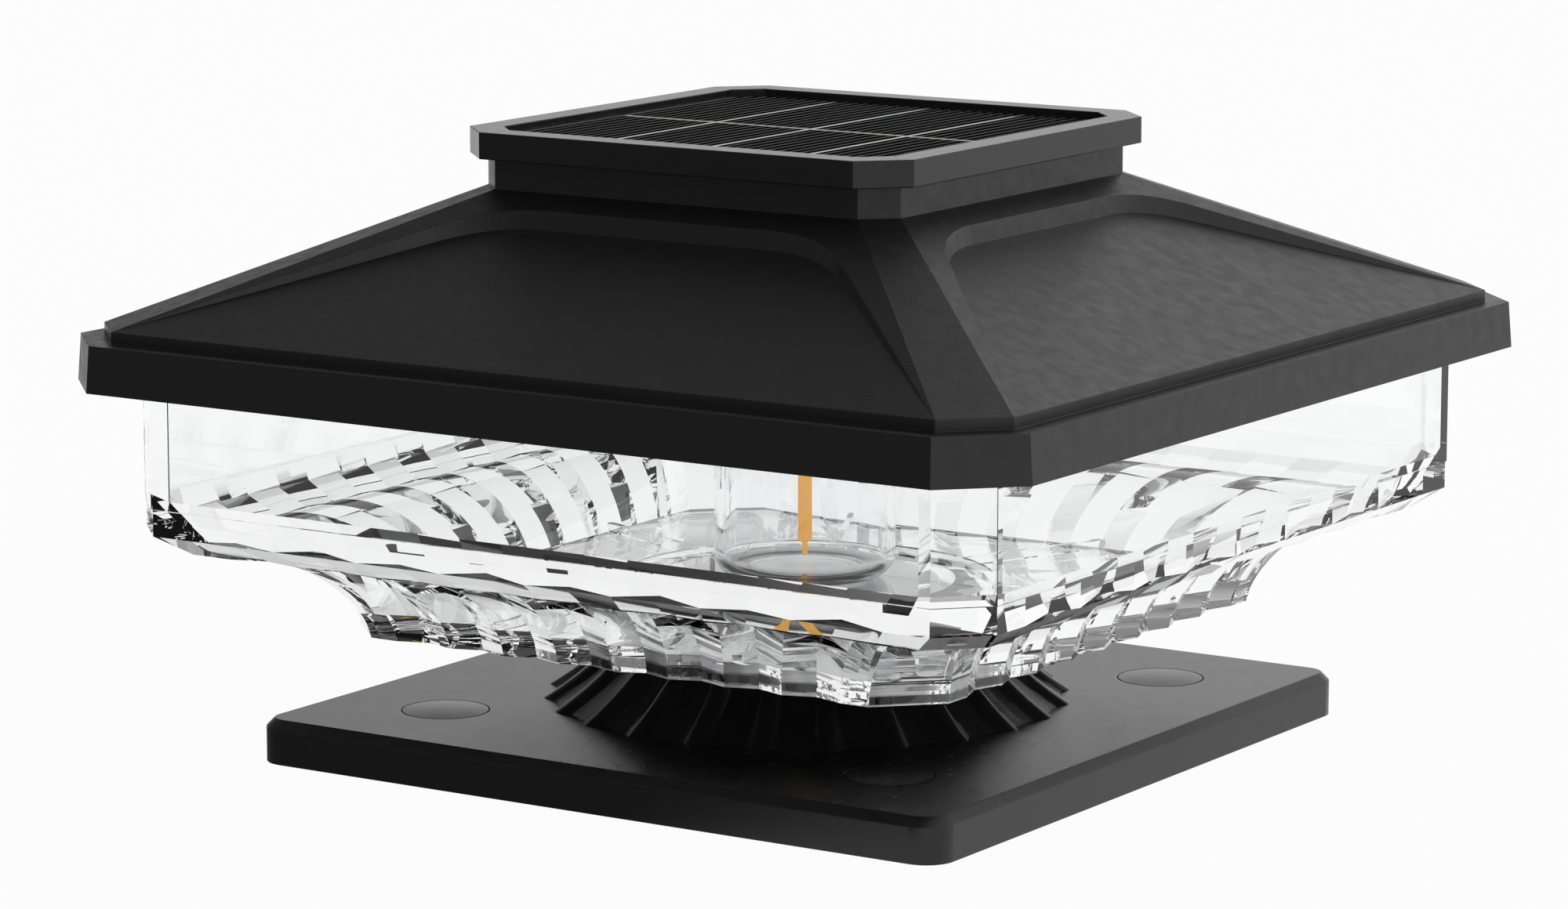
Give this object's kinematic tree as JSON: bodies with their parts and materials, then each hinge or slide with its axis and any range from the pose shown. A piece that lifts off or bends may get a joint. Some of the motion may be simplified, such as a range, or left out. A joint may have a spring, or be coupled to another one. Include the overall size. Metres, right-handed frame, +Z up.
{
  "type": "solar post top light",
  "caption": "Square solar light for a fence post: black hipped roof with a solar panel, clear pleated bowl with an LED filament bulb, and a fluted foot on a square plate.",
  "frame": {"origin": "centre of the base plate's underside, where it rests on the post", "axes": "+Z up along the lamp's axis, -Y out of the front face, +X to the right when facing the front"},
  "size_m": [0.192, 0.192, 0.1104],
  "materials": {
    "black_grained": "fine grained matt black",
    "black_satin": "satin black",
    "clear": "clear, polished",
    "clear_cup": "clear, polished",
    "seal": "soft matt",
    "black_inside": "matt black",
    "socket": "matt white",
    "holder": "matt black",
    "button": "smooth black",
    "steel": "zinc plated",
    "panel_board": "laminate",
    "cell": "dark silicon",
    "ribbon": "tinned",
    "panel_cover": "clear resin",
    "filament": "amber phosphor",
    "battery_wrap": "shrink wrap",
    "circuit_board": "solder mask",
    "chip": "moulded",
    "red_wire": "insulation",
    "black_wire": "insulation",
    "white_wire": "insulation"
  },
  "bodies": {
    "base": {"base_plate": "black_satin", "hole_plugs": "black_satin", "pedestal": "black_satin", "pedestal_screws": "steel"},
    "bowl": {"diffuser": "clear"},
    "top": {"roof_shell": "black_grained", "panel_frame": "black_satin", "bulb_cup": "clear_cup", "diffuser_gasket": "seal", "panel_tape": "seal", "ceiling_plate": "black_inside", "battery_door": "black_inside", "bulb_collar": "black_inside", "filament_socket": "socket", "battery_holder": "holder", "switch_body": "holder", "frame_screws": "steel", "ceiling_screws": "steel", "collar_screws": "steel", "holder_screws": "steel", "door_screws": "steel", "board_screws": "steel", "contact_plate": "steel", "contact_leaf": "steel", "filament_leads": "steel", "panel_backing": "panel_board", "solar_cells": "cell", "cell_ribbons": "ribbon", "panel_cover": "panel_cover", "led_filament": "filament", "battery": "battery_wrap", "control_board": "circuit_board", "board_parts": "chip", "panel_lead_red": "red_wire", "battery_lead_red": "red_wire", "panel_lead_black": "black_wire", "battery_lead_black": "black_wire", "filament_wire": "white_wire"},
    "button": {"switch_button": "button"}
  },
  "joints": [
    {"name": "head_twist", "type": "hinge", "parent": "base", "child": "bowl", "pos_m": [0, 0, 0.024], "axis": [0, 0, 1], "range_deg": [0, 40]},
    {"name": "roof_lift", "type": "slide", "parent": "bowl", "child": "top", "axis": [0, 0, 1], "range_m": [0, 0.06]},
    {"name": "switch_press", "type": "slide", "parent": "top", "child": "button", "axis": [0, 0, 1], "range_m": [0, 0.002], "stiffness_N_per_m": 300}
  ]
}
